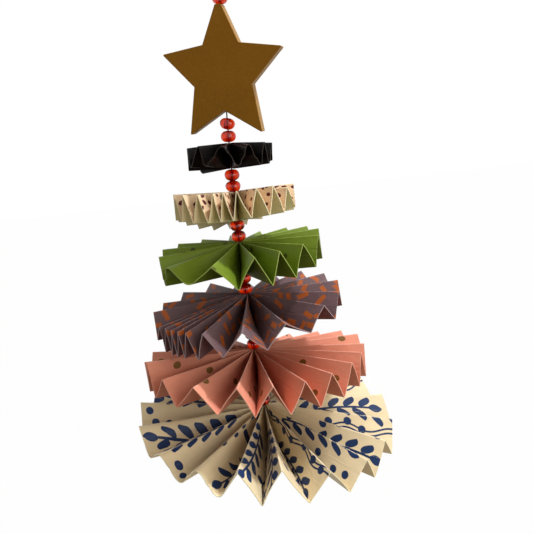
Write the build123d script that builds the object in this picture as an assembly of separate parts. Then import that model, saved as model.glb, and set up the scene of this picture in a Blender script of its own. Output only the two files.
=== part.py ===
"""Paper tree ornament: pleated paper rosettes, glass beads and a painted star on a doubled thread.

Millimetres, +Z up. The origin is the top of the hanging loop, and the tree hangs below it.
The front, where the star faces, is towards -Y. Bearings run from the front, positive to the right.
"""

import math
import os
from dataclasses import dataclass, field

from build123d import *

# Paper and pleats
paper = 0.2
least_rise = 2.5
hub_clearance = 0.5

# Rosette radius from the thread to the rim, and width of one pleat panel from fold to fold
black_radius, black_panel = 11.3, 7.1
cream_radius, cream_panel = 16.1, 8.0
green_radius, green_panel = 22.0, 9.0
grey_radius, grey_panel = 26.0, 7.9
pink_radius, pink_panel = 30.8, 9.1
blue_radius, blue_panel = 35.8, 9.5

# Glass beads
bead_diameter = 4.0
bead_height = 2.9
bead_hole = 1.3
seat_gap = 0.05
top_bead_count = 2
star_bead_count = 2
turned_bead_lean = 12.0
turned_bead_gap = 0.25

# Star
star_points = 5
star_height = 33.2
star_width = 31.5
star_waist = 0.49
star_thickness = 3.0
star_top_flat = 1.6
star_tip_round = 0.25
star_edge_round = 0.15
star_bore = 1.2
star_yaw = -17.5
star_lift = 1.8

# Thread, its hanging loop and its knot
strand = 0.35
strand_spacing = 0.4
bow = 2.6
loop_rise = 38.0
loop_route = ((0.2, -38.0), (0.7, -30.0), (3.0, -17.0), (4.4, -6.0), (2.4, 0.0))
loop_bend = 0.45
knot_diameter = 1.9
knot_flat = 0.8

# Sections of a pleat, as shares of the way from the hub to the rim
SECTIONS = (0.0, 0.14, 0.45, 1.0)
SHORTEST_EDGE = 1e-6


@dataclass
class Rosette:
    """One folded strip. Turns are the degrees that each front panel opens, from the left round to the right.

    Folds are numbered from the first ridge. Raised gives those whose rim end stands higher, in millimetres.
    Sag is how far the rim droops at the sag bearing, and less on each side of it; a negative sag curls up.
    """

    name: str
    radius: float
    panel: float
    first_ridge: float
    turns: tuple
    back_panels: int
    beads_below: int
    tilt_right: float = 0.0
    tilt_back: float = 0.0
    twist: float = 0.0
    rim_lift: float = 0.0
    sag: float = 0.0
    sag_bearing: float = 180.0
    raised: dict = field(default_factory=dict)


ROSETTES = (
    Rosette("black_rosette", black_radius, black_panel, -73, (7, 24, 7, 26, 19, 15, 18, 8, 9), 11, 2,
            tilt_right=-0.6, tilt_back=-2.8, twist=2.3, rim_lift=0.3, sag=2.2, sag_bearing=-140),
    Rosette("cream_rosette", cream_radius, cream_panel, -75,
            (17, 6, 11, 8, 8, 7, 5, 4, 7, 5, 11, 7, 11, 6, 12, 8, 25), 23, 2,
            tilt_right=-1.9, tilt_back=-3.4, twist=-4.0, rim_lift=1.4, sag=6.5, sag_bearing=-160),
    Rosette("green_rosette", green_radius, green_panel, -79,
            (11, 7, 23, 19, 16, 12, 10, 7, 11, 9, 14, 10, 13, 10), 16, 2,
            tilt_right=1.7, tilt_back=0.2, twist=-0.6, rim_lift=0.7, sag=2.4, raised={0: 0.7}),
    Rosette("grey_rosette", grey_radius, grey_panel, -88,
            (11, 14, 3, 5, 3, 3, 2, 4, 2, 4, 6, 5, 10, 12, 12, 12, 15, 13, 11, 12), 18, 3,
            tilt_right=2.1, tilt_back=0.8, twist=-0.5, rim_lift=-0.4, sag=1.0, raised={0: 0.9}),
    Rosette("pink_rosette", pink_radius, pink_panel, -65,
            (2, 13, 7, 13, 10, 11, 6, 10, 6, 9, 6, 9, 6, 10, 5, 8, 4, 10), 22, 3,
            tilt_right=-3.4, tilt_back=-3.4, twist=3.6, rim_lift=1.0, sag=6.8, sag_bearing=165,
            raised={0: 2.5}),
    Rosette("blue_rosette", blue_radius, blue_panel, -75,
            (11, 13, 10, 11, 7, 10, 7, 10, 8, 11, 7, 12, 3, 13, 6, 14), 20, 1,
            tilt_right=-9.1, tilt_back=0.8, twist=2.6, sag=-2.5, sag_bearing=-130,
            raised={0: 0.2, 6: 1.2, 8: 2.3, 12: -1.0}),
)


def panel_count(rosette):
    return len(rosette.turns) + rosette.back_panels


def rim_bearings(rosette):
    """Bearing of every fold at the rim: the front panels open by hand, the back ones evenly."""
    back = (360 - sum(rosette.turns)) / rosette.back_panels
    bearings = [rosette.first_ridge]
    for turn in rosette.turns + (back,) * (rosette.back_panels - 1):
        bearings.append(bearings[-1] + turn)
    return bearings


def hub_bearings(rosette):
    """Bearing of every fold at the hub, where the panels are pressed together evenly."""
    count = panel_count(rosette)
    rim = rim_bearings(rosette)
    start = sum(bearing - 360 * k / count for k, bearing in enumerate(rim)) / count
    return [start + 360 * k / count for k in range(count)]


def hub_radius(rosette):
    """The hub closes until the panels touch, or until it meets the thread."""
    packed = paper * panel_count(rosette) / (2 * math.pi)
    return max(packed, strand_spacing / 2 + strand / 2 + hub_clearance)


def on_circle(radius, bearing, z):
    angle = math.radians(bearing)
    return Vector(radius * math.sin(angle), -radius * math.cos(angle), z)


def fold_heights(radius, bearings, panel):
    """Height of each fold above or below the middle, so that every panel keeps its width where it can."""
    rises = []
    for here, after in zip(bearings, bearings[1:] + [bearings[0] + 360]):
        chord = 2 * radius * math.sin(math.radians(after - here) / 2)
        rises.append(math.sqrt(max(panel**2 - chord**2, least_rise**2)))
    sides = (1, -1) * (len(rises) // 2)
    return [side * (rises[k - 1] + rises[k]) / 4 for k, side in enumerate(sides)]


def fold_lines(rosette):
    """Hub and rim ends of every fold's middle line, about the rosette's own centre. Ridges are even."""
    rim, hub = rim_bearings(rosette), hub_bearings(rosette)
    hub_ends = [
        on_circle(hub_radius(rosette), bearing, z)
        for bearing, z in zip(hub, fold_heights(hub_radius(rosette), hub, rosette.panel))
    ]
    slope_right = math.tan(math.radians(rosette.tilt_right))
    slope_back = math.tan(math.radians(rosette.tilt_back))
    saddle = math.tan(math.radians(rosette.twist)) / rosette.radius
    rim_ends = []
    for k, z in enumerate(fold_heights(rosette.radius, rim, rosette.panel)):
        end = on_circle(rosette.radius, rim[k], z + rosette.rim_lift + rosette.raised.get(k, 0.0))
        lift = slope_right * end.X + slope_back * end.Y + saddle * end.X * end.Y
        lift -= rosette.sag * max(math.cos(math.radians(rim[k] - rosette.sag_bearing)), 0) ** 2
        rim_ends.append(end + Vector(0, 0, lift))
    return hub_ends, rim_ends


def paper_section(folds):
    """Upper and lower points of the paper round one section. A fold is flat outside and sharp inside."""
    count = len(folds)
    upper, lower = [], []
    for k, fold in enumerate(folds):
        before, after = folds[k - 1], folds[(k + 1) % count]
        along = Vector(after.X - before.X, after.Y - before.Y, 0).normalized()
        slopes = []
        widths = []
        for other in (before, after):
            flat = math.hypot(other.X - fold.X, other.Y - fold.Y)
            rise = abs(other.Z - fold.Z)
            slopes.append(rise / flat)
            widths.append(paper / 2 * math.hypot(flat, rise) / rise)
        half = sum(widths) / 2
        side = 1 if k % 2 == 0 else -1
        sharp = fold + along * (half * (slopes[0] - slopes[1]) / sum(slopes))
        sharp -= Vector(0, 0, side * 2 * half * slopes[0] * slopes[1] / sum(slopes))
        flat_ends = [fold - along * half, fold + along * half]
        upper += flat_ends if side > 0 else [sharp, sharp]
        lower += [sharp, sharp] if side > 0 else flat_ends
    return upper, lower


def facets(row, after, outward):
    """Triangles of the strip between two rows of points, leaving out those of no area.

    Outward and inward strips are split along the same diagonals, so that both sides of a panel match.
    """
    triangles = []
    for j in range(len(row)):
        k = (j + 1) % len(row)
        if outward:
            halves = (row[j], after[j], after[k]), (row[j], after[k], row[k])
        else:
            halves = (row[j], after[j], row[k]), (after[j], after[k], row[k])
        for corners in halves:
            edges = [(corners[i] - corners[i - 1]).length for i in range(3)]
            if min(edges) > SHORTEST_EDGE:
                triangles.append(Face(Wire.make_polygon(corners, close=True)))
    return triangles


def rosette_solid(rosette):
    """The folded paper: its upper side out to the rim, and its lower side back in to the hub."""
    hub_ends, rim_ends = fold_lines(rosette)
    sections = [
        paper_section([hub + (rim - hub) * share for hub, rim in zip(hub_ends, rim_ends)])
        for share in SECTIONS
    ]
    upper = [section[0] for section in sections]
    lower = [section[1] for section in sections]
    triangles = facets(upper[-1], lower[-1], True) + facets(lower[0], upper[0], True)
    for k in range(len(SECTIONS) - 1):
        triangles += facets(upper[k], upper[k + 1], True)
        triangles += facets(lower[k + 1], lower[k], False)
    return Solid(Shell(triangles))


def bead_solid():
    """A glass seed bead: a rounded ring turned about its hole."""
    half = bead_height / 2
    outer, hole = bead_diameter / 2, bead_hole / 2
    middle = outer - half
    top = math.sqrt(half**2 - (hole - middle) ** 2)
    with BuildPart() as bead:
        with BuildSketch(Plane.XZ):
            with BuildLine():
                ThreePointArc((hole, -top), (outer, 0), (hole, top))
                Line((hole, top), (hole, -top))
            make_face()
        revolve(axis=Axis.Z)
    return bead.part


def bead_sink(ring_radius):
    """How far a bead's round end drops into a hole of this radius."""
    half = bead_height / 2
    middle = bead_diameter / 2 - half
    reach = min(max(ring_radius - middle, 0), half)
    return half - math.sqrt(half**2 - reach**2)


def star_tip():
    """Distance of each tip from the star's middle, for the star's height."""
    return star_height / (1 + math.cos(math.pi / star_points))


def star_outline():
    """Corners of the star about its middle, clockwise from its top tip, which is cut flat for the bead."""
    step = math.pi / star_points
    widest = max(math.sin(2 * step * k) for k in range(star_points))
    across = star_width / (2 * star_tip() * widest)
    corners = []
    for k in range(2 * star_points):
        reach = star_tip() * (1 if k % 2 == 0 else star_waist)
        corners.append((across * reach * math.sin(step * k), reach * math.cos(step * k)))
    (side_x, side_z), (_, tip_z) = corners[1], corners[0]
    half = star_top_flat / 2
    flat_z = tip_z - half * (tip_z - side_z) / side_x
    return [(-half, flat_z), (half, flat_z)] + corners[1:]


def star_solid():
    """The star about its own middle, with its bore along Z."""
    between = star_tip() * (1 + star_waist) / 2
    with BuildPart() as star:
        with BuildSketch(Plane.XZ):
            with BuildLine():
                Polyline(*star_outline(), close=True)
            make_face()
        extrude(amount=star_thickness / 2, both=True)
        upright = star.edges().filter_by(Axis.Y)
        tips = [edge for edge in upright if math.hypot(edge.center().X, edge.center().Z) > between]
        fillet(tips, star_tip_round)
        faces = star.faces().filter_by(Axis.Y)
        fillet(faces.edges(), star_edge_round)
        with Locations(Plane.XY):
            Cylinder(star_bore / 2, 2 * star_height, mode=Mode.SUBTRACT)
    return star.part


def star_ends():
    """Heights of the star's flat top and of its lower notch, from its middle."""
    return star_outline()[0][1], -star_waist * star_tip()


def stack():
    """Pieces from the top bead down, each with the distance of its middle along the thread."""
    placed = []
    reach = 0.0

    def add_beads(names, lean=0.0):
        nonlocal reach
        for name in names:
            reach += seat_gap + bead_height / 2
            placed.append((name, reach, lean))
            reach += bead_height / 2

    add_beads([f"top_bead_{k + 1}" for k in range(top_bead_count)])
    star_top, star_notch = star_ends()
    reach += seat_gap + star_top
    placed.append(("star", reach, 0.0))
    reach += star_lift - star_notch
    for k in range(star_bead_count):
        turned = k == 0 and star_bead_count > 1
        add_beads([f"star_bead_{k + 1}"], turned_bead_lean if turned else 0.0)
        reach += turned_bead_gap if turned else 0.0
    for rosette in ROSETTES:
        sink = bead_sink(hub_radius(rosette))
        hub_half = max(abs(end.Z) for end in fold_lines(rosette)[0])
        reach += seat_gap - sink + hub_half
        placed.append((rosette.name, reach, 0.0))
        reach += hub_half - sink
        colour = rosette.name.split("_")[0]
        last = rosette is ROSETTES[-1]
        add_beads(["stop_bead"] if last else [f"{colour}_bead_{k + 1}" for k in range(rosette.beads_below)])
    return placed, reach + seat_gap


PLACED, THREAD_LENGTH = stack()
BEND = 4 * bow / THREAD_LENGTH
BEND_RADIUS = THREAD_LENGTH / (2 * BEND)


def along_thread(reach, side=0.0):
    """Place on the bowed thread at this distance below the loop, with Z up the thread."""
    angle = reach / BEND_RADIUS - BEND
    x = BEND_RADIUS * (math.cos(BEND) - math.cos(angle))
    z = -loop_rise - BEND_RADIUS * (math.sin(BEND) + math.sin(angle))
    return Location((x, side, z), (0, -math.degrees(angle), 0))


def strand_solid(side):
    """One strand of the doubled thread, a bowed arc from the top bead to the knot."""
    ends = [along_thread(reach, side).position for reach in (0, THREAD_LENGTH / 2, THREAD_LENGTH)]
    path = ThreePointArc(*ends)
    section = Plane(ends[0], x_dir=(0, 1, 0), z_dir=path % 0) * Circle(strand / 2)
    return sweep(section, path)


def loop_solid():
    """The folded end of the thread: up one side, over the top and down the other."""
    right = [Vector(0, y, z) for y, z in loop_route]
    points = right + [Vector(0, -point.Y, point.Z) for point in reversed(right)]
    radii = []
    for before, point, after in zip(points, points[1:], points[2:]):
        turn = (point - before).get_angle(after - point)
        shorter = min((point - before).length, (after - point).length)
        radii.append(loop_bend * shorter / math.tan(math.radians(turn) / 2))
    path = FilletPolyline(*points, radius=radii)
    section = Plane(points[0], x_dir=(1, 0, 0), z_dir=path % 0) * Circle(strand / 2)
    loop = sweep(section, path)
    print("hanging loop radii", [round(radius, 1) for radius in radii], "length", round(path.length, 1))
    print("volume over section times length", round(loop.volume / (section.area * path.length), 4))
    return loop


def knot_solid():
    """A pulled-tight knot, flat on top where the strands enter it."""
    radius = knot_diameter / 2
    top = Plane.XY.offset(knot_flat * radius)
    knot = split(Sphere(radius), bisect_by=top, keep=Keep.BOTTOM)
    return Pos(0, 0, -knot_flat * radius) * knot


def main():
    shapes = {rosette.name: rosette_solid(rosette) for rosette in ROSETTES}
    shapes["star"] = Rot(0, 0, star_yaw) * star_solid()
    bead = bead_solid()
    parts = {}
    for name, reach, lean in PLACED:
        parts[name] = along_thread(reach) * Rot(0, lean, 0) * shapes.get(name, bead)
    offset = strand_spacing / 2
    parts["thread"] = Compound(children=[strand_solid(offset), strand_solid(-offset)])
    parts["end_knot"] = along_thread(THREAD_LENGTH) * knot_solid()
    parts["hanging_loop"] = loop_solid()
    os.makedirs("parts", exist_ok=True)
    for name, part in parts.items():
        part.label = name
        export_step(part, f"parts/{name}.step")


main()
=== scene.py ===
import math
import random

import bpy
import numpy as np
from mathutils import Matrix, Vector, noise


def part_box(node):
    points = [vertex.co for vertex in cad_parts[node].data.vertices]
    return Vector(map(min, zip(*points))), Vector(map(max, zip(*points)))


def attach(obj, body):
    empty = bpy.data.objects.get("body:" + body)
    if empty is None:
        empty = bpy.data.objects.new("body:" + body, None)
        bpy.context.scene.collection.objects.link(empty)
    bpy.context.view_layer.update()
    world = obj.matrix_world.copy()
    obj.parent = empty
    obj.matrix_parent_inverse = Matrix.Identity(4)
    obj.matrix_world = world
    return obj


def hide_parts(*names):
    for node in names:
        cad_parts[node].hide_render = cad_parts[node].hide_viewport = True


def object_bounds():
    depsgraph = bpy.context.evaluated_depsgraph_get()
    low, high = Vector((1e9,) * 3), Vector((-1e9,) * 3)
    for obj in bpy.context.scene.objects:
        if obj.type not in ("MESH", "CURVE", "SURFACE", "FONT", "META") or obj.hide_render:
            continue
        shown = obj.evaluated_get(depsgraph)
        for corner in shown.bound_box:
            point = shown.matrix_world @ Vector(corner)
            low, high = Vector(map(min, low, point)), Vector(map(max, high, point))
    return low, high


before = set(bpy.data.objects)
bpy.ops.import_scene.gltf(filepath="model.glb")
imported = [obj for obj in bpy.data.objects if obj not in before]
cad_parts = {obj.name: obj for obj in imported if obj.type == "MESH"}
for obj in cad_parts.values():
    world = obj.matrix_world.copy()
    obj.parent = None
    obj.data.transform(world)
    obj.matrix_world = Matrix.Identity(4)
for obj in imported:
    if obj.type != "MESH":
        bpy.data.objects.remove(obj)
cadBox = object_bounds()
mm = 0.001
print("frame loaded:", len(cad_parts), "nodes")


def linear(hexColour):
    # sRGB hex to the linear colour that a socket takes
    channels = [int(hexColour[i:i + 2], 16) / 255 for i in (1, 3, 5)]
    return [c / 12.92 if c <= 0.04045 else ((c + 0.055) / 1.055) ** 2.4 for c in channels] + [1.0]


def addNode(tree, kind, links=None, **settings):
    node = tree.nodes.new(kind)
    for name, value in settings.items():
        setattr(node, name, value)
    for socket, source in (links or {}).items():
        if isinstance(source, bpy.types.NodeSocket):
            tree.links.new(source, node.inputs[socket])
        else:
            node.inputs[socket].default_value = source
    return node


def newMaterial(name, **constants):
    # a principled surface, with the values that are the same all over it set on its own sockets
    material = bpy.data.materials.new(name)
    material.use_nodes = True
    shader = material.node_tree.nodes["Principled BSDF"]
    for socket, value in constants.items():
        shader.inputs[socket.replace("_", " ")].default_value = value
    return material, material.node_tree, shader


def addPiece(name, mesh, node):
    piece = bpy.data.objects.new(name, mesh)
    bpy.context.scene.collection.objects.link(piece)
    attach(piece, "root")
    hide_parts(node)
    return piece


def middleOf(node):
    low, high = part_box(node)
    return (low + high) / 2


# Pleated paper: each sheet is folded along the CAD rosette's own folds, with soft creases and bowed panels
pleat = {
    "paper": 0.2,           # mm thick
    "creaseSteps": 6,
    "panelSteps": 5,
    "rows": (0, 0.04, 0.1, 0.18, 0.28, 0.4, 0.52, 0.64, 0.76, 0.88, 1),
    "softest": 0.42,        # largest share of a panel that one crease takes
    "creaseAtHub": 0.25,    # share of a crease that is left at the hub
    "bowOfChord": 0.12,     # largest bow as a share of the panel's opening
    "thinAtHub": 0.5,       # share of the paper's thickness at the hub
    "thinReach": 0.3,       # share of the strip's width with thinner paper
    "sharp": 60,            # degrees, the edges that stay sharp
    "rimFrom": 0.8,         # share of the radius beyond which a corner is on the rim
    "hubReach": 1.8,        # mm from the thread, further than any hub
    "foldGap": 0.4,         # mm along the rim, more than one fold's corners are apart
    "pressed": 0.11,        # mm to each panel at the thread, where they are pressed together
    "threadReach": 0.41,    # mm from the axis to clear of the doubled thread
    "beadDip": 0.25,        # mm that the pressed ends give way to a bead
}
# crease is mm of panel on each side of a fold, soft is (first bearing, last bearing, crease between them)
rosetteLooks = {
    "black_rosette": {
        "above": "star_bead_2", "below": "black_bead_1", "bow": 0.3, "crease": 2.3, "soft": None,
    },
    "cream_rosette": {
        "above": "black_bead_2", "below": "cream_bead_1", "bow": 0.2, "crease": 0.8, "soft": None,
    },
    "green_rosette": {
        "above": "cream_bead_2", "below": "green_bead_1", "bow": 0.3, "crease": 0.5, "soft": (-85, -25, 3.5),
    },
    "grey_rosette": {
        "above": "green_bead_2", "below": "grey_bead_1", "bow": 0.25, "crease": 0.5, "soft": None,
    },
    "pink_rosette": {
        "above": "grey_bead_3", "below": "pink_bead_1", "bow": 0.25, "crease": 0.5, "soft": None,
    },
    "blue_rosette": {
        "above": "pink_bead_3", "below": "stop_bead", "bow": 0.4, "crease": 0.5, "soft": (-80, -15, 3.8),
    },
}


def threadFrame(above, below):
    # the rosette's own axes: Z up the thread, X to the right, the middle halfway between its two beads
    top, bottom = middleOf(above), middleOf(below)
    up = (top - bottom).normalized()
    right = (Vector((1, 0, 0)) - up * up.x).normalized()
    place = Matrix((right, up.cross(right), up)).transposed().to_4x4()
    place.translation = (top + bottom) / 2
    return place


def readFolds(node, place):
    # rim end of every fold, from the back round by the left, the front and the right, and the hub's size
    inverse = place.inverted()
    corners = {tuple(round(c, 6) for c in inverse @ v.co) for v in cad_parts[node].data.vertices}
    reach = max(math.hypot(x, y) for x, y, z in corners)
    nearRim = pleat["rimFrom"] * reach
    rim = sorted((math.atan2(x, -y), x, y, z) for x, y, z in corners if math.hypot(x, y) > nearRim)
    groups = [[rim[0]]]
    for corner in rim[1:]:
        if (corner[0] - groups[-1][-1][0]) * reach < pleat["foldGap"] * mm:
            groups[-1].append(corner)
        else:
            groups.append([corner])
    if (groups[0][0][0] + 2 * math.pi - groups[-1][-1][0]) * reach < pleat["foldGap"] * mm:
        groups[0] = [(a - 2 * math.pi, *rest) for a, *rest in groups.pop()] + groups[0]
    folds, ridges = [], []
    for group in groups:
        low, mid, high = sorted(group, key=lambda corner: corner[3])
        ridge = high[3] - mid[3] < mid[3] - low[3]  # the two corners outside the fold are level
        outer, inner = ((mid, high), low) if ridge else ((low, mid), high)
        folds.append((np.mean([c[1:] for c in outer], axis=0) + np.array(inner[1:])) / 2)
        ridges.append(ridge)
    hub = [c for c in corners if math.hypot(c[0], c[1]) < pleat["hubReach"] * mm]
    hubRadius = np.mean([math.hypot(x, y) for x, y, z in hub])
    hubHalf = max(z for x, y, z in hub) - pleat["paper"] * mm / 2
    return np.array(folds), ridges, hubRadius, hubHalf


def pleatColumns(count, rounds):
    # the strip's columns: (crease or panel, its number, the way across it, the place on the strip in panels)
    columns = []
    steps = np.linspace(0, 1, pleat["creaseSteps"] + 1)
    for k in range(count + 1):
        w = rounds[k % count]
        for t in steps:
            if (k > 0 or t >= 0.5) and (k < count or t <= 0.5):
                columns.append(("crease", k, t, k + (2 * t - 1) * w))
        if k < count:
            after = rounds[(k + 1) % count]
            for j in range(1, pleat["panelSteps"]):
                t = j / pleat["panelSteps"]
                columns.append(("panel", k, t, k + w + t * (1 - w - after)))
    return columns


def foldStrip(node, look):
    # points of the folded strip's middle surface, row by row from the hub, and its flat coordinates in mm
    place = threadFrame(look["above"], look["below"])
    rim, ridges, hubRadius, hubHalf = readFolds(node, place)
    count = len(rim)
    bearings = [math.atan2(x, -y) for x, y, z in rim]
    start = sum(b - 2 * math.pi * k / count for k, b in enumerate(bearings)) / count
    turned = [start + 2 * math.pi * k / count for k in range(count)]
    hub = np.array([
        (hubRadius * math.sin(b), -hubRadius * math.cos(b), hubHalf if ridge else -hubHalf)
        for b, ridge in zip(turned, ridges)
    ])
    inner = max(pleat["pressed"] * count / (2 * math.pi), pleat["threadReach"]) * mm / hubRadius
    pressed = hub * [inner, inner, 1 - pleat["beadDip"] * mm / hubHalf]
    panel = 2 * hubHalf / mm
    rounds = [look["crease"] / panel] * count
    if look["soft"]:
        first, last, length = look["soft"]
        for k, b in enumerate(bearings):
            if first <= math.degrees(b) <= last:
                rounds[k] = min(length / panel, pleat["softest"])
    dice = random.Random(node)
    chords = np.linalg.norm(np.roll(rim, -1, axis=0)[:, :2] - rim[:, :2], axis=1)
    bows = [dice.uniform(-1, 1) * min(look["bow"] * mm, pleat["bowOfChord"] * chord) for chord in chords]
    columns = pleatColumns(count, rounds)
    width = np.linalg.norm(rim - hub, axis=1).mean() / mm
    rings = [(0, pressed)] + [(share, hub + (rim - hub) * share) for share in pleat["rows"]]
    rows, flat = [], []
    for share, folds in rings:
        row, flatRow = [], []
        tightness = pleat["creaseAtHub"] + (1 - pleat["creaseAtHub"]) * share
        for kind, k, t, along in columns:
            fold, before, after = folds[k % count], folds[(k - 1) % count], folds[(k + 1) % count]
            w = rounds[k % count] * tightness
            enter, leave = fold + (before - fold) * w, fold + (after - fold) * w
            if kind == "crease":
                peak = fold + (fold - (enter + leave) / 2) / 2  # keeps three quarters of the fold's height
                point = (1 - t) ** 2 * enter + 2 * t * (1 - t) * peak + t * t * leave
            else:
                far = after + (fold - after) * rounds[(k + 1) % count] * tightness
                outward = (rim[k % count] - hub[k % count]) * [1, 1, 0]
                side = np.cross(after - fold, outward)
                side = side / np.linalg.norm(side)
                point = leave + (far - leave) * t + side * bows[k % count] * share * 4 * t * (1 - t)
            nearest = round(along) % count
            off = abs(along - round(along)) * panel
            row.append(point)
            # the third value is the way from a ridge in mm, and below zero near a valley
            flatRow.append((along * panel, share * width, off if ridges[nearest] else -off - 0.001))
        rows.append(row)
        flat.append(flatRow)
    world = np.array(place)
    points = np.array(rows) @ world[:3, :3].T + world[:3, 3]
    return points, np.array(flat), np.array([share for share, folds in rings])


def rosetteMesh(node, look):
    # the strip thickened to paper: printed side up, plain side down, with cut edges all round
    points, flat, shares = foldStrip(node, look)
    rows, columns = points.shape[:2]
    normals = np.cross(np.gradient(points, axis=0), np.gradient(points, axis=1))
    normals /= np.linalg.norm(normals, axis=2, keepdims=True)
    thickness = pleat["thinAtHub"] + (1 - pleat["thinAtHub"]) * np.minimum(shares / pleat["thinReach"], 1)
    half = pleat["paper"] * mm / 2 * thickness[:, None, None]
    layers = np.concatenate([points + normals * half, points - normals * half]).reshape(-1, 3)
    grid = np.arange(rows * columns).reshape(rows, columns)
    upper = np.stack([grid[:-1, :-1], grid[1:, :-1], grid[1:, 1:], grid[:-1, 1:]], axis=2)
    upper = upper.reshape(-1, 4)
    lower = upper[:, ::-1] + rows * columns
    outline = np.concatenate([grid[0, :], grid[1:, -1], grid[-1, -2::-1], grid[-2:0:-1, 0]])
    after = np.roll(outline, -1)
    edge = np.stack([outline, after, after + rows * columns, outline + rows * columns], axis=1)
    mesh = bpy.data.meshes.new(node + "_sheet")
    mesh.from_pydata(layers.tolist(), [], np.concatenate([upper, lower, edge]).tolist())
    sheet = mesh.attributes.new("flatSheet", "FLOAT_VECTOR", "POINT")
    sheet.data.foreach_set("vector", np.tile(flat.reshape(-1, 3), (2, 1)).astype(np.float32).ravel())
    sides = [0] * len(upper) + [1] * len(lower) + [2] * len(edge)
    mesh.polygons.foreach_set("material_index", sides)
    mesh.polygons.foreach_set("use_smooth", [True] * len(sides))
    mesh.update()
    mesh.set_sharp_from_angle(angle=math.radians(pleat["sharp"]))
    return mesh


# Paper finishes, one sheet for each rosette: colours as sRGB hex, motif sizes in mm on the flat strip
# each sheet's pale ridge colour is partly worn ink and partly a painted highlight on the ridge tops
sheets = {
    "black_rosette": {
        "slot": "black_paper", "name": "black_satin_card", "front": "#090605", "back": "#080504",
        "edge": "#332b27", "wornAndLitRidge": "#1c1613", "roughness": 0.46, "shine": 0.1, "print": None,
    },
    "cream_rosette": {
        "slot": "cream_paper", "name": "printed_cream_sheet", "front": "#efd3af", "back": "#f6e5ba",
        "edge": "#fff0cc", "wornAndLitRidge": "#fff2d8", "roughness": 0.55, "shine": 0.3,
        "print": {"motif": "spots", "ink": "#560f18", "spacing": 2.7, "half": (0.5, 0.85), "keep": 0.85,
                  "turn": 0.9, "ragged": 0.2, "blunt": False, "start": 11.0},
    },
    "green_rosette": {
        "slot": "green_paper", "name": "moss_green_sheet", "front": "#6d8421", "back": "#61761c",
        "edge": "#9fb45c", "wornAndLitRidge": "#a4ba60", "roughness": 0.5, "shine": 0.3,
        "print": {"motif": "spots", "ink": "#3f4612", "spacing": 9.0, "half": (0.75, 0.75), "keep": 0.7,
                  "turn": 3.0, "ragged": 0.15, "blunt": False, "start": 11.0},
    },
    "grey_rosette": {
        "slot": "grey_paper", "name": "mauve_grey_sheet", "front": "#6b5358", "back": "#62484b",
        "edge": "#a8969c", "wornAndLitRidge": "#a8939c", "roughness": 0.5, "shine": 0.3,
        "print": {"motif": "spots", "ink": "#b05a26", "spacing": 4.3, "half": (0.65, 1.65), "keep": 0.82,
                  "turn": 3.1, "ragged": 0.4, "blunt": True, "start": 11.0},
    },
    "pink_rosette": {
        "slot": "pink_paper", "name": "salmon_pink_sheet", "front": "#e2957d", "back": "#cc826b",
        "edge": "#f0b5a0", "wornAndLitRidge": "#f8c2b0", "roughness": 0.5, "shine": 0.3,
        "print": {"motif": "spots", "ink": "#77551f", "spacing": 10.0, "half": (0.85, 1.15), "keep": 0.75,
                  "turn": 0.5, "ragged": 0.08, "blunt": False, "start": 47.0},
    },
    "blue_rosette": {
        "slot": "blue_paper", "name": "leaf_printed_cream_sheet", "front": "#e9d9b5", "back": "#ddc99e",
        "edge": "#fff3d0", "wornAndLitRidge": "#fff3d6", "roughness": 0.5, "shine": 0.3,
        "print": {"motif": "sprigs", "ink": "#17325f"},
    },
}
sprig = {
    "column": 13.2,         # mm of strip to each sprig
    "lean": 0.12,           # radians either way, by chance
    "middle": 20.0, "shift": 3.0,       # mm from the hub, and more or less by chance
    "stem": 0.3, "curve": 0.008,        # half the stem's width in mm, and its bend
    "leaves": 5, "leafPitch": 4.6, "leafLean": 0.72, "leafHalf": (2.1, 1.15),
    "dotSpacing": 4.9, "dotHalf": 1.1, "dotKeep": 0.9, "dotClear": 4.2,     # clear of the stem, in mm
    "dotJitter": 0.6, "dotStart": 23.0, "dotRagged": 0.08,
    "lineApart": 0.6, "lineHalf": 0.26, "lineSway": 0.8, "lineWave": 0.5, "lineKeep": 0.5,
}
# spots: how far they stray from an even grid, their soft edge, mm of an uneven edge, a stroke's round corner
printing = {"jitter": 0.75, "edge": 0.04, "uneven": 0.5, "corner": 0.3}
fibre = {
    "grain": 0.35, "cloud": 7.0, "bump": 0.02, "wave": 0.5, "wornAndLitReach": 0.3,  # mm
    "cloudTones": (0.86, 1.1), "waveStrength": 0.6, "grainStrength": 0.35, "wornAndLitPatch": (0.4, 0.6),
}


def cellsOf(tree, sheet, spacing, jitter, shift):
    # one motif to a cell of the flat sheet: the offset from the cell's middle in mm, and random values
    moved = addNode(tree, "ShaderNodeVectorMath", {0: sheet, 1: (shift, 0.6 * shift, 0)}, operation="ADD")
    flat = addNode(tree, "ShaderNodeVectorMath", {0: moved.outputs[0], 1: (1, 1, 0)}, operation="MULTIPLY")
    cells = addNode(tree, "ShaderNodeTexVoronoi",
                    {"Vector": flat.outputs[0], "Scale": 1 / spacing, "Randomness": jitter},
                    voronoi_dimensions="2D")
    offset = addNode(tree, "ShaderNodeVectorMath", {0: flat.outputs[0], 1: cells.outputs["Position"]},
                     operation="SUBTRACT")
    chance = addNode(tree, "ShaderNodeSeparateColor", {0: cells.outputs["Color"]})
    return offset.outputs[0], chance.outputs


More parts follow.
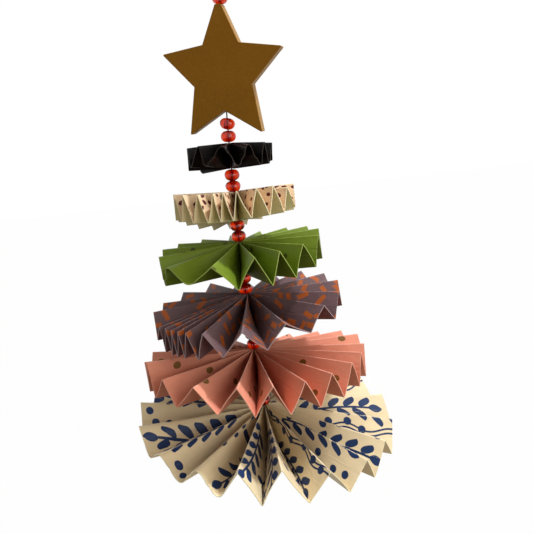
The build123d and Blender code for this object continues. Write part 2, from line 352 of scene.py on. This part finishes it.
def inkMask(tree, vector, half, ragged, blunt, sheet):
    # 1 inside an oval, or a blunt brush stroke, with a slightly uneven ink edge
    scaled = addNode(tree, "ShaderNodeVectorMath", {0: vector, 1: (1 / half[0], 1 / half[1], 0)},
                     operation="MULTIPLY").outputs[0]
    if blunt:
        sizes = addNode(tree, "ShaderNodeVectorMath", {0: scaled}, operation="ABSOLUTE").outputs[0]
        axes = addNode(tree, "ShaderNodeSeparateXYZ", {0: sizes}).outputs
        reach = addNode(tree, "ShaderNodeMath", {0: axes[0], 1: axes[1], 2: printing["corner"]},
                        operation="SMOOTH_MAX").outputs[0]
    else:
        reach = addNode(tree, "ShaderNodeVectorMath", {0: scaled}, operation="LENGTH").outputs["Value"]
    blur = addNode(tree, "ShaderNodeTexNoise",
                   {"Vector": sheet, "Scale": 1 / printing["uneven"], "Detail": 2.0})
    rough = addNode(tree, "ShaderNodeMath", {0: blur.outputs["Fac"], 1: 2 * ragged, 2: reach},
                    operation="MULTIPLY_ADD")
    outside, inside = 1 + printing["edge"] + ragged, 1 - printing["edge"] + ragged
    mask = addNode(tree, "ShaderNodeMapRange",
                   {"Value": rough.outputs[0], "From Min": outside, "From Max": inside})
    return mask.outputs[0]


def spotPrint(tree, sheet, ink):
    # scattered spots, ovals or brush strokes, each turned by chance, with some cells left bare
    offset, chance = cellsOf(tree, sheet, ink["spacing"], printing["jitter"], ink["start"])
    angle = addNode(tree, "ShaderNodeMath", {0: chance["Red"], 1: 2 * ink["turn"], 2: -ink["turn"]},
                    operation="MULTIPLY_ADD")
    turned = addNode(tree, "ShaderNodeVectorRotate", {"Vector": offset, "Angle": angle.outputs[0]},
                     rotation_type="Z_AXIS")
    mask = inkMask(tree, turned.outputs[0], ink["half"], ink["ragged"], ink["blunt"], sheet)
    kept = addNode(tree, "ShaderNodeMath", {0: chance["Green"], 1: ink["keep"]}, operation="LESS_THAN")
    return addNode(tree, "ShaderNodeMath", {0: mask, 1: kept.outputs[0]}, operation="MULTIPLY").outputs[0]


def sprigPlace(tree, position):
    # where a point of the sheet lies from the sprig of its own column: across the stem, and along it
    axes = addNode(tree, "ShaderNodeSeparateXYZ", {0: position}).outputs
    column = addNode(tree, "ShaderNodeMath", {0: axes[0], 1: sprig["column"]},
                     operation="DIVIDE").outputs[0]
    number = addNode(tree, "ShaderNodeMath", {0: column}, operation="FLOOR").outputs[0]
    dice = addNode(tree, "ShaderNodeTexWhiteNoise", {"W": number}, noise_dimensions="1D").outputs["Color"]
    chance = addNode(tree, "ShaderNodeSeparateColor", {0: dice}).outputs
    share = addNode(tree, "ShaderNodeMath", {0: column}, operation="FRACT").outputs[0]
    across = addNode(tree, "ShaderNodeMath", {0: share, 1: sprig["column"], 2: -sprig["column"] / 2},
                     operation="MULTIPLY_ADD").outputs[0]
    moved = addNode(tree, "ShaderNodeMath", {0: chance[0], 1: 2 * sprig["shift"], 2: axes[1]},
                    operation="MULTIPLY_ADD").outputs[0]
    along = addNode(tree, "ShaderNodeMath", {0: moved, 1: sprig["middle"] + sprig["shift"]},
                    operation="SUBTRACT").outputs[0]
    local = addNode(tree, "ShaderNodeCombineXYZ", {0: across, 1: along}).outputs[0]
    angle = addNode(tree, "ShaderNodeMath", {0: chance[1], 1: 2 * sprig["lean"], 2: -sprig["lean"]},
                    operation="MULTIPLY_ADD").outputs[0]
    turned = addNode(tree, "ShaderNodeVectorRotate", {"Vector": local, "Angle": angle},
                     rotation_type="Z_AXIS").outputs[0]
    return addNode(tree, "ShaderNodeSeparateXYZ", {0: turned}).outputs


def sprigPrint(tree, sheet, ink):
    # leafy sprigs, dots between them and a pair of wavy lines here and there, all in one ink
    long, wide = sprig["leafHalf"]
    pitch, lean = sprig["leafPitch"], sprig["leafLean"]
    reach = sprig["leaves"] * pitch / 2
    x, y, _ = sprigPlace(tree, sheet)
    square = addNode(tree, "ShaderNodeMath", {0: y, 1: y}, operation="MULTIPLY").outputs[0]
    bent = addNode(tree, "ShaderNodeMath", {0: square, 1: sprig["curve"], 2: x},
                   operation="MULTIPLY_ADD").outputs[0]
    aside = addNode(tree, "ShaderNodeMath", {0: bent}, operation="ABSOLUTE").outputs[0]
    along = addNode(tree, "ShaderNodeMath", {0: y}, operation="ABSOLUTE").outputs[0]
    left = addNode(tree, "ShaderNodeMath", {0: bent, 1: 0.0}, operation="LESS_THAN").outputs[0]
    stagger = addNode(tree, "ShaderNodeMath", {0: left, 1: pitch / 2, 2: y},
                      operation="MULTIPLY_ADD").outputs[0]
    # the leaves lean forward along the stem, so each one is found along its own slant
    slant = addNode(tree, "ShaderNodeMath", {0: aside, 1: -math.tan(lean), 2: stagger},
                    operation="MULTIPLY_ADD").outputs[0]
    level = addNode(tree, "ShaderNodeMath", {0: slant, 1: pitch / 2, 2: -pitch / 2},
                    operation="WRAP").outputs[0]
    offLeaf = addNode(tree, "ShaderNodeMath", {0: level}, operation="ABSOLUTE").outputs[0]
    share = addNode(tree, "ShaderNodeMath", {0: aside, 1: 1 / (long * math.cos(lean)), 2: -1.0},
                    operation="MULTIPLY_ADD").outputs[0]
    taper = addNode(tree, "ShaderNodeMath", {0: share, 1: share}, operation="MULTIPLY").outputs[0]
    width = addNode(tree, "ShaderNodeMath", {0: taper, 1: -wide / math.cos(lean), 2: wide / math.cos(lean)},
                    operation="MULTIPLY_ADD").outputs[0]
    leaf = addNode(tree, "ShaderNodeMath", {0: offLeaf, 1: width}, operation="LESS_THAN").outputs[0]
    slantSize = addNode(tree, "ShaderNodeMath", {0: slant}, operation="ABSOLUTE").outputs[0]
    within = addNode(tree, "ShaderNodeMath", {0: slantSize, 1: reach}, operation="LESS_THAN").outputs[0]
    leaves = addNode(tree, "ShaderNodeMath", {0: leaf, 1: within}, operation="MULTIPLY").outputs[0]
    thin = addNode(tree, "ShaderNodeMath", {0: aside, 1: sprig["stem"]}, operation="LESS_THAN").outputs[0]
    short = addNode(tree, "ShaderNodeMath", {0: along, 1: reach}, operation="LESS_THAN").outputs[0]
    stem = addNode(tree, "ShaderNodeMath", {0: thin, 1: short}, operation="MULTIPLY").outputs[0]
    tipShare = addNode(tree, "ShaderNodeMath", {0: y, 1: 1 / long, 2: -reach / long - 0.9},
                       operation="MULTIPLY_ADD").outputs[0]
    tipTaper = addNode(tree, "ShaderNodeMath", {0: tipShare, 1: tipShare}, operation="MULTIPLY").outputs[0]
    tipWidth = addNode(tree, "ShaderNodeMath", {0: tipTaper, 1: -wide, 2: wide},
                       operation="MULTIPLY_ADD").outputs[0]
    tip = addNode(tree, "ShaderNodeMath", {0: aside, 1: tipWidth}, operation="LESS_THAN").outputs[0]
    # dots stand clear of the stems by where their middles lie
    dotOffset, dotChance = cellsOf(tree, sheet, sprig["dotSpacing"], sprig["dotJitter"], sprig["dotStart"])
    dotMiddle = addNode(tree, "ShaderNodeVectorMath", {0: sheet, 1: dotOffset},
                        operation="SUBTRACT").outputs[0]
    dotAcross = sprigPlace(tree, dotMiddle)[0]
    dotAside = addNode(tree, "ShaderNodeMath", {0: dotAcross}, operation="ABSOLUTE").outputs[0]
    clear = addNode(tree, "ShaderNodeMath", {0: dotAside, 1: sprig["dotClear"]},
                    operation="GREATER_THAN").outputs[0]
    kept = addNode(tree, "ShaderNodeMath", {0: dotChance["Green"], 1: sprig["dotKeep"]},
                   operation="LESS_THAN").outputs[0]
    dot = inkMask(tree, dotOffset, (sprig["dotHalf"], sprig["dotHalf"]), sprig["dotRagged"], False, sheet)
    shown = addNode(tree, "ShaderNodeMath", {0: kept, 1: clear}, operation="MULTIPLY").outputs[0]
    dots = addNode(tree, "ShaderNodeMath", {0: dot, 1: shown}, operation="MULTIPLY").outputs[0]
    # wavy lines run out from the hub between two columns
    flat = addNode(tree, "ShaderNodeSeparateXYZ", {0: sheet}).outputs
    wave = addNode(tree, "ShaderNodeMath", {0: flat[1], 1: sprig["lineWave"]},
                   operation="MULTIPLY").outputs[0]
    sine = addNode(tree, "ShaderNodeMath", {0: wave}, operation="SINE").outputs[0]
    sway = addNode(tree, "ShaderNodeMath", {0: sine, 1: sprig["lineSway"], 2: flat[0]},
                   operation="MULTIPLY_ADD").outputs[0]
    column = sprig["column"]
    gap = addNode(tree, "ShaderNodeMath", {0: sway, 1: column / 2, 2: -column / 2},
                  operation="WRAP").outputs[0]
    gapSize = addNode(tree, "ShaderNodeMath", {0: gap}, operation="ABSOLUTE").outputs[0]
    beside = addNode(tree, "ShaderNodeMath", {0: gapSize, 1: sprig["lineApart"]},
                     operation="SUBTRACT").outputs[0]
    besideSize = addNode(tree, "ShaderNodeMath", {0: beside}, operation="ABSOLUTE").outputs[0]
    lines = addNode(tree, "ShaderNodeMath", {0: besideSize, 1: sprig["lineHalf"]},
                    operation="LESS_THAN").outputs[0]
    border = addNode(tree, "ShaderNodeMath", {0: sway, 1: column}, operation="DIVIDE").outputs[0]
    number = addNode(tree, "ShaderNodeMath", {0: border}, operation="ROUND").outputs[0]
    dice = addNode(tree, "ShaderNodeTexWhiteNoise", {"W": number}, noise_dimensions="1D").outputs["Value"]
    drawn = addNode(tree, "ShaderNodeMath", {0: dice, 1: sprig["lineKeep"]},
                    operation="LESS_THAN").outputs[0]
    shownLines = addNode(tree, "ShaderNodeMath", {0: lines, 1: drawn}, operation="MULTIPLY").outputs[0]
    mask = leaves
    for shape in (stem, tip, dots, shownLines):
        mask = addNode(tree, "ShaderNodeMath", {0: mask, 1: shape}, operation="MAXIMUM").outputs[0]
    return mask


motifs = {"spots": spotPrint, "sprigs": sprigPrint}


def paperMaterial(name, colour, look, ink=None, wornAndLitRidge=True):
    # uncoated craft paper: matt and cloudy, with a felt-like grain, and a pale band along the ridge tops
    # that is partly ink worn at the folds and partly a painted highlight
    material, tree, shader = newMaterial(name, Roughness=look["roughness"], Specular_IOR_Level=look["shine"])
    sheet = addNode(tree, "ShaderNodeAttribute", attribute_name="flatSheet").outputs["Vector"]
    cloud = addNode(tree, "ShaderNodeTexNoise",
                    {"Vector": sheet, "Scale": 1 / fibre["cloud"], "Detail": 3.0})
    grain = addNode(tree, "ShaderNodeTexNoise",
                    {"Vector": sheet, "Scale": 1 / fibre["grain"], "Detail": 4.0})
    base = linear(colour)
    dark, light = fibre["cloudTones"]
    dense, thin = [c * dark for c in base[:3]] + [1], [min(c * light, 1) for c in base]
    tone = addNode(tree, "ShaderNodeMix", {0: cloud.outputs["Fac"], 6: dense, 7: thin},
                   data_type="RGBA").outputs[2]
    if ink:
        mask = motifs[ink["motif"]](tree, sheet, ink)
        tone = addNode(tree, "ShaderNodeMix", {0: mask, 6: tone, 7: linear(ink["ink"])},
                       data_type="RGBA").outputs[2]
    # pale ridge tops: partly worn ink, partly a painted highlight where the upward folds catch the light;
    # the same band is laid on the reverse face
    if wornAndLitRidge:
        away = addNode(tree, "ShaderNodeSeparateXYZ", {0: sheet}).outputs[2]
        ridge = addNode(tree, "ShaderNodeMath", {0: away, 1: 0.0}, operation="GREATER_THAN").outputs[0]
        near = addNode(tree, "ShaderNodeMapRange",
                       {"Value": away, "From Min": fibre["wornAndLitReach"], "From Max": 0.0}).outputs[0]
        least, most = fibre["wornAndLitPatch"]
        patch = addNode(tree, "ShaderNodeMapRange",
                        {"Value": grain.outputs["Fac"], "From Min": least, "From Max": most}).outputs[0]
        ridgeTopBand = addNode(tree, "ShaderNodeMath", {0: near, 1: ridge}, operation="MULTIPLY").outputs[0]
        wornAndLitMask = addNode(tree, "ShaderNodeMath", {0: ridgeTopBand, 1: patch}, operation="MULTIPLY").outputs[0]
        tone = addNode(tree, "ShaderNodeMix", {0: wornAndLitMask, 6: tone, 7: linear(look["wornAndLitRidge"])},
                       data_type="RGBA").outputs[2]
    tree.links.new(tone, shader.inputs["Base Color"])
    handled = addNode(tree, "ShaderNodeBump", {
        "Height": cloud.outputs["Fac"], "Strength": fibre["waveStrength"], "Distance": fibre["wave"] * mm,
    }).outputs[0]
    bump = addNode(tree, "ShaderNodeBump", {
        "Height": grain.outputs["Fac"], "Strength": fibre["grainStrength"], "Distance": fibre["bump"] * mm,
        "Normal": handled,
    })
    tree.links.new(bump.outputs[0], shader.inputs["Normal"])
    return material


for node, look in rosetteLooks.items():
    sheetLook = sheets[node]
    mesh = rosetteMesh(node, look)
    paper = sheetLook["name"]
    mesh.materials.append(paperMaterial(paper, sheetLook["front"], sheetLook, sheetLook["print"]))
    mesh.materials.append(paperMaterial(paper + "_reverse", sheetLook["back"], sheetLook))
    mesh.materials.append(paperMaterial(paper + "_cut_edge", sheetLook["edge"], sheetLook, wornAndLitRidge=False))
    addPiece(node + "_folded", mesh, node)
    print("folded", node, len(mesh.polygons), "faces")


# Glass seed beads, pressed round and fire polished
beadShape = {
    "wide": 4.0, "tall": 2.9, "hole": 1.3, "lump": 2.0,  # mm
    "uneven": 0.05, "around": 40, "profile": 16, "sharp": 60,
}
beadGlass = {"deep": "#aa0c00", "bright": "#f24402", "streak": 1.2}  # mm


def axisOf(node):
    # the way that a bead's hole runs: the solid is thinnest along it
    points = np.array([v.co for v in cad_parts[node].data.vertices])
    spread = np.linalg.eigh(np.cov(points.T))[1][:, 0]
    return Vector(spread if spread[2] > 0 else -spread)


def beadMesh(name, node):
    half, hole = beadShape["tall"] / 2, beadShape["hole"] / 2
    middle = beadShape["wide"] / 2 - half
    end = math.acos((hole - middle) / half)
    profile = []
    for k in range(beadShape["profile"] + 1):
        a = -end + 2 * end * k / beadShape["profile"]
        profile.append((middle + half * math.cos(a), half * math.sin(a)))
    top = profile[-1][1]
    profile += [(hole, top * z) for z in (0.5, 0.0, -0.5)]
    place = axisOf(node).to_track_quat("Z", "Y").to_matrix()
    centre = middleOf(node)
    rng = random.Random(name)
    seed = Vector([rng.uniform(-50, 50) for _ in range(3)])
    points = []
    for k in range(beadShape["around"]):
        turn = 2 * math.pi * k / beadShape["around"]
        for radius, z in profile:
            point = Vector((radius * math.cos(turn), radius * math.sin(turn), z))
            if radius > hole:
                point *= 1 + beadShape["uneven"] * noise.noise(point / beadShape["lump"] + seed)
            points.append(centre + place @ (point * mm))
    count = len(profile)
    faces = []
    for k in range(beadShape["around"]):
        after = (k + 1) % beadShape["around"]
        for j in range(count):
            up = (j + 1) % count
            faces.append((k * count + j, after * count + j, after * count + up, k * count + up))
    mesh = bpy.data.meshes.new(name)
    mesh.from_pydata(points, [], faces)
    mesh.polygons.foreach_set("use_smooth", [True] * len(faces))
    mesh.set_sharp_from_angle(angle=math.radians(beadShape["sharp"]))
    return mesh


# orange-red soda-lime glass: clear colour right through, with the thread showing dark in its hole
glass, tree, shader = newMaterial("orange_bead_glass", Roughness=0.05, IOR=1.5, Specular_IOR_Level=0.1,
                                  Transmission_Weight=0.9)
where = addNode(tree, "ShaderNodeTexCoord").outputs["Object"]
streak = addNode(tree, "ShaderNodeTexNoise",
                 {"Vector": where, "Scale": 1 / (beadGlass["streak"] * mm), "Detail": 2.0})
tint = addNode(tree, "ShaderNodeMix",
               {0: streak.outputs["Fac"], 6: linear(beadGlass["deep"]), 7: linear(beadGlass["bright"])},
               data_type="RGBA")
tree.links.new(tint.outputs[2], shader.inputs["Base Color"])

beadNodes = [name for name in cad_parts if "_bead" in name]
for name in beadNodes:
    mesh = beadMesh(name + "_glass", name)
    mesh.materials.append(glass)
    addPiece(name + "_round", mesh, name)
print("beads:", len(beadNodes))


# Star: cut wood under brushed antique gold paint, with a paler colour on all the sawn rim walls that is
# painted light standing in for the lamp on the lit walls
starPaint = {
    "low": "#5a3806", "high": "#8b5c12", "fleck": "#8d6218", "rim": "#a07c48",
    "mottle": 11.0, "speck": 0.5, "relief": 0.05,  # mm
    "rimTurn": (0.3, 0.1),  # squared cosine from the face, where the face's paint gives way to the painted light on the rim walls
}
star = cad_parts["star"]
widest = max(star.data.polygons, key=lambda face: face.area)
gold, tree, shader = newMaterial("antique_gold_paint", Roughness=0.5, Metallic=0.15, Specular_IOR_Level=0.1)
where = addNode(tree, "ShaderNodeTexCoord").outputs["Object"]
mottle = addNode(tree, "ShaderNodeTexNoise",
                 {"Vector": where, "Scale": 1 / (starPaint["mottle"] * mm), "Detail": 5.0})
speck = addNode(tree, "ShaderNodeTexNoise",
                {"Vector": where, "Scale": 1 / (starPaint["speck"] * mm), "Detail": 3.0})
shade = addNode(tree, "ShaderNodeMix",
                {0: mottle.outputs["Fac"], 6: linear(starPaint["low"]), 7: linear(starPaint["high"])},
                data_type="RGBA")
flecked = addNode(tree, "ShaderNodeMix",
                  {0: speck.outputs["Fac"], 6: shade.outputs[2], 7: linear(starPaint["fleck"])},
                  data_type="RGBA")
facing = addNode(tree, "ShaderNodeVectorMath",
                 {0: addNode(tree, "ShaderNodeNewGeometry").outputs["True Normal"], 1: tuple(widest.normal)},
                 operation="DOT_PRODUCT").outputs["Value"]
square = addNode(tree, "ShaderNodeMath", {0: facing, 1: facing}, operation="MULTIPLY").outputs[0]
# the rim walls all take the paler colour: painted light, standing in for the key lamp on the walls that face
# it
rimStart, rimEnd = starPaint["rimTurn"]
rim = addNode(tree, "ShaderNodeMapRange",
              {"Value": square, "From Min": rimStart, "From Max": rimEnd}).outputs[0]
paintWithLitRim = addNode(tree, "ShaderNodeMix", {0: rim, 6: flecked.outputs[2], 7: linear(starPaint["rim"])},
                  data_type="RGBA")
tree.links.new(paintWithLitRim.outputs[2], shader.inputs["Base Color"])
rise = addNode(tree, "ShaderNodeBump",
               {"Height": speck.outputs["Fac"], "Strength": 0.5, "Distance": starPaint["relief"] * mm})
tree.links.new(rise.outputs[0], shader.inputs["Normal"])
star.data.materials.clear()
star.data.materials.append(gold)
print("star painted")


# Thread: doubled brown cotton, its twist drawn far coarser than the real 0.3 mm lay so that it shows, with
# painted shade in the grooves between the plies
yarn = {"dark": "#5c4028", "light": "#846242", "twist": 6.31, "relief": 0.05}  # mm
cotton, tree, shader = newMaterial("twisted_cotton_thread", Roughness=0.8, Specular_IOR_Level=0.2,
                                   Sheen_Weight=0.3)
where = addNode(tree, "ShaderNodeTexCoord").outputs["Object"]
bands = math.pi / 5 / (yarn["twist"] * mm)  # the wave texture repeats every pi / 5 at a scale of 1
ply = addNode(tree, "ShaderNodeTexWave", {"Vector": where, "Scale": bands, "Distortion": 0.4},
              bands_direction="DIAGONAL")
# the colour is darker where the twist's bump sinks into a groove: painted shade
pliesWithGrooveShade = addNode(tree, "ShaderNodeMix",
                {0: ply.outputs["Fac"], 6: linear(yarn["dark"]), 7: linear(yarn["light"])}, data_type="RGBA")
tree.links.new(pliesWithGrooveShade.outputs[2], shader.inputs["Base Color"])
twist = addNode(tree, "ShaderNodeBump",
                {"Height": ply.outputs["Fac"], "Strength": 0.6, "Distance": yarn["relief"] * mm})
tree.links.new(twist.outputs[0], shader.inputs["Normal"])
for name in ("thread", "end_knot"):
    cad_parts[name].data.materials.clear()
    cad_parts[name].data.materials.append(cotton)

loop = {
    "thick": 0.35,  # mm
    "length": 80.7,
    "route": ((0.2, -38.0), (0.7, -30.0), (3.0, -17.0), (4.4, -6.0), (2.4, 0.0)),  # y and z in mm, one side
}
route = [(0, y * mm, z * mm) for y, z in loop["route"]]
route += [(x, -y, z) for x, y, z in reversed(route)]
curve = bpy.data.curves.new("hanging_loop_thread", "CURVE")
curve.dimensions = "3D"
spline = curve.splines.new("NURBS")
spline.points.add(len(route) - 1)
for point, place in zip(spline.points, route):
    point.co = (*place, 1)
spline.order_u = 3
spline.use_endpoint_u = True
spline.resolution_u = 8
curve.bevel_depth = loop["thick"] / 2 * mm
curve.bevel_resolution = 3
curve.materials.append(cotton)
loopPiece = addPiece("hanging_loop_cord", curve, "hanging_loop")
print("thread and loop done")


# Stage: a pale floor well below the hanging ornament, a small key lamp high on the right, a soft fill
# from the front right and a warm room lit from above
stage = {
    "floorDrop": 0.45, "floorWide": 8.0,  # metres
    "floor": "#b8b4ae", "whiteness": 0.985,
    "room": (1.0, 0.93, 0.82), "ceiling": 0.74, "walls": 0.2,
}
lamps = {  # size and away in metres, bearing from the front round by the right and rise in degrees
    "key_lamp": {
        "watts": 4.6, "size": 0.05, "away": 0.7, "bearing": 90, "rise": 56, "colour": (0.98, 0.99, 1.0),
    },
    "fill_lamp": {
        "watts": 2.2, "size": 0.5, "away": 0.7, "bearing": 40, "rise": 14, "colour": (1.0, 0.93, 0.82),
    },
}


def seenRays(tree):
    # 1 where the eye sees the backdrop, straight on, in a reflection or through glass
    rays = addNode(tree, "ShaderNodeLightPath").outputs
    mirrored = addNode(tree, "ShaderNodeMath", {0: rays["Is Glossy Ray"], 1: rays["Is Transmission Ray"]},
                       operation="MAXIMUM").outputs[0]
    return addNode(tree, "ShaderNodeMath", {0: rays["Is Camera Ray"], 1: mirrored},
                   operation="MAXIMUM").outputs[0]


low, high = cadBox
floorMesh = bpy.data.meshes.new("floor")
side = stage["floorWide"] / 2
floorZ = low[2] - stage["floorDrop"]
floorCorners = [(x * side, y * side, floorZ) for x, y in ((-1, -1), (1, -1), (1, 1), (-1, 1))]
floorMesh.from_pydata(floorCorners, [], [(0, 1, 2, 3)])
floor = bpy.data.objects.new("floor", floorMesh)
bpy.context.scene.collection.objects.link(floor)
paleFloor, tree, shader = newMaterial("white_studio_floor", Roughness=0.9, Base_Color=linear(stage["floor"]))
glow = addNode(tree, "ShaderNodeEmission", {"Color": (1, 1, 1, 1), "Strength": 1.0})
share = addNode(tree, "ShaderNodeMath", {0: seenRays(tree), 1: stage["whiteness"]}, operation="MULTIPLY")
mixed = addNode(tree, "ShaderNodeMixShader", {0: share.outputs[0], 1: shader.outputs[0], 2: glow.outputs[0]})
tree.links.new(mixed.outputs[0], tree.nodes["Material Output"].inputs["Surface"])
floorMesh.materials.append(paleFloor)

world = bpy.data.worlds.new("white_room")
bpy.context.scene.world = world
world.use_nodes = True
tree = world.node_tree
seen = seenRays(tree)
towards = addNode(tree, "ShaderNodeTexCoord").outputs["Generated"]
upward = addNode(tree, "ShaderNodeSeparateXYZ", {0: towards}).outputs[2]
room = addNode(tree, "ShaderNodeMapRange",
               {"Value": upward, "To Min": stage["walls"], "To Max": stage["ceiling"]})
brightness = addNode(tree, "ShaderNodeMix", {0: seen, 2: room.outputs[0], 3: 1.0})
roomColour = addNode(tree, "ShaderNodeMix", {0: seen, 6: (*stage["room"], 1), 7: (1, 1, 1, 1)},
                     data_type="RGBA")
backdrop = tree.nodes["Background"]
tree.links.new(roomColour.outputs[2], backdrop.inputs["Color"])
tree.links.new(brightness.outputs[0], backdrop.inputs["Strength"])

target = Vector((0, 0, (low[2] + high[2]) / 2))
for name, look in lamps.items():
    lamp = bpy.data.lights.new(name, "AREA")
    lamp.energy = look["watts"]
    lamp.size = look["size"]
    lamp.color = look["colour"]
    lampObject = bpy.data.objects.new(name, lamp)
    bpy.context.scene.collection.objects.link(lampObject)
    bearing, rise = math.radians(look["bearing"]), math.radians(look["rise"])
    level = math.cos(rise)
    outward = Vector((math.sin(bearing) * level, -math.cos(bearing) * level, math.sin(rise)))
    lampObject.location = target + outward * look["away"]
    lampObject.rotation_euler = outward.to_track_quat("Z", "Y").to_euler()

# Camera where the photo was taken from: a little above the black rosette, tipped down and slightly rolled
view = {
    "aside": -0.5, "away": 164.5, "height": -69.8,  # mm from the top of the loop
    "yaw": 1.58, "pitch": 14.3, "roll": -6.14,  # degrees
    "focalPixels": 618.0, "framePixels": 533, "sensor": 36,
}
camera = bpy.data.cameras.new("photo_camera")
camera.sensor_fit = "HORIZONTAL"
camera.sensor_width = view["sensor"]
camera.lens = view["focalPixels"] / view["framePixels"] * view["sensor"]
camera.clip_start = 0.01
cameraObject = bpy.data.objects.new("photo_camera", camera)
bpy.context.scene.collection.objects.link(cameraObject)
yaw, pitch, roll = (math.radians(view[key]) for key in ("yaw", "pitch", "roll"))
ahead = Vector((math.sin(yaw) * math.cos(pitch), math.cos(yaw) * math.cos(pitch), -math.sin(pitch)))
sideways = Vector((math.cos(yaw), -math.sin(yaw), 0))
upright = sideways.cross(ahead)
right = math.cos(roll) * sideways + math.sin(roll) * upright
up = math.cos(roll) * upright - math.sin(roll) * sideways
turn = Matrix((right, up, -ahead)).transposed().to_4x4()
turn.translation = Vector((view["aside"], -view["away"], view["height"])) * mm
cameraObject.matrix_world = turn
bpy.context.scene.camera = cameraObject
bpy.context.scene.view_settings.view_transform = "Standard"
print("stage, lamps and camera set")
